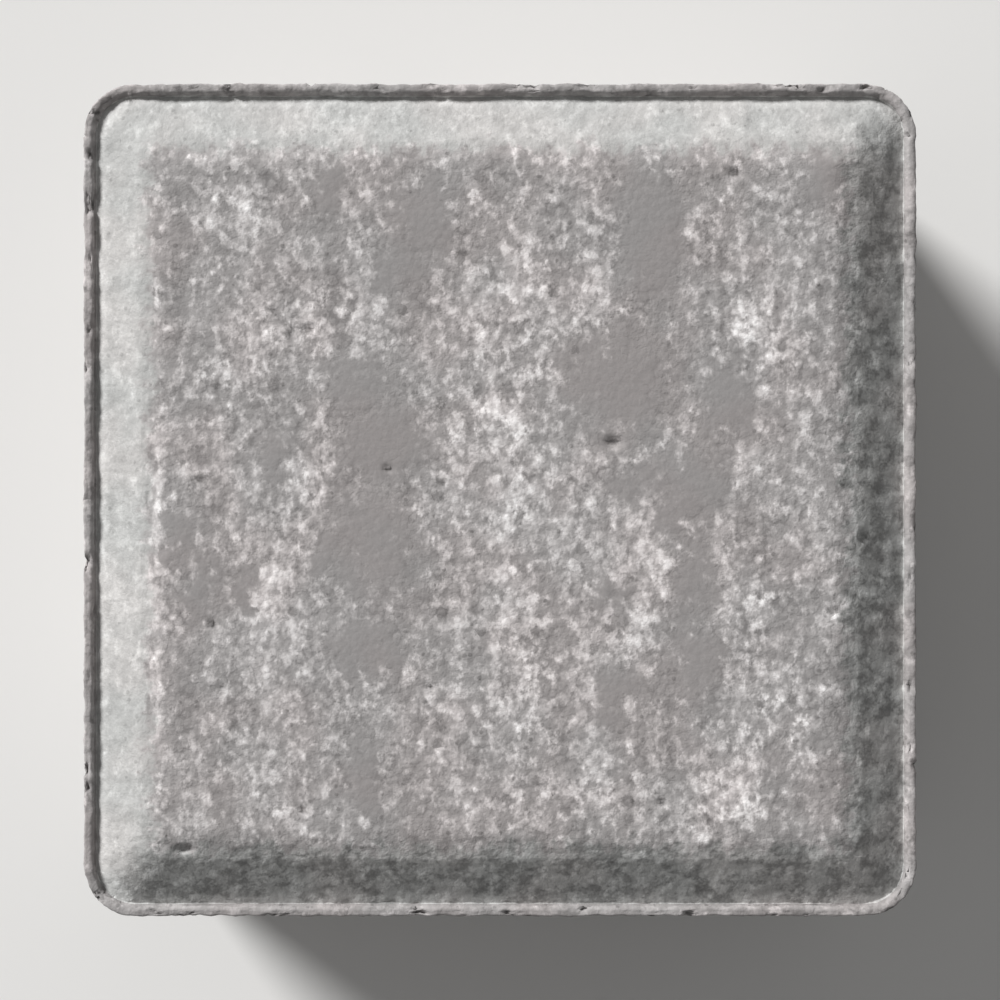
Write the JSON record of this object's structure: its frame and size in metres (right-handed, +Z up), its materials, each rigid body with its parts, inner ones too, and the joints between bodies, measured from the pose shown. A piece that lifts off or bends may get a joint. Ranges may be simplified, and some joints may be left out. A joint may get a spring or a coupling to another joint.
{
  "type": "concrete paving stone",
  "caption": "Square concrete paving stone with a chamfered walking face inside a thin press lip, rounded upright corners and spacer ribs on its sides that keep laying joints open.",
  "frame": {"origin": "middle of the underside, which lies on the bedding", "axes": "+Z up out of the walking face; +X and +Y square to two neighbouring sides; the stone is the same at every quarter turn about +Z"},
  "size_m": [0.102, 0.102, 0.06],
  "materials": {
    "concrete": "matte"
  },
  "bodies": {
    "root": {"paving_stone": "concrete"}
  },
  "joints": []
}
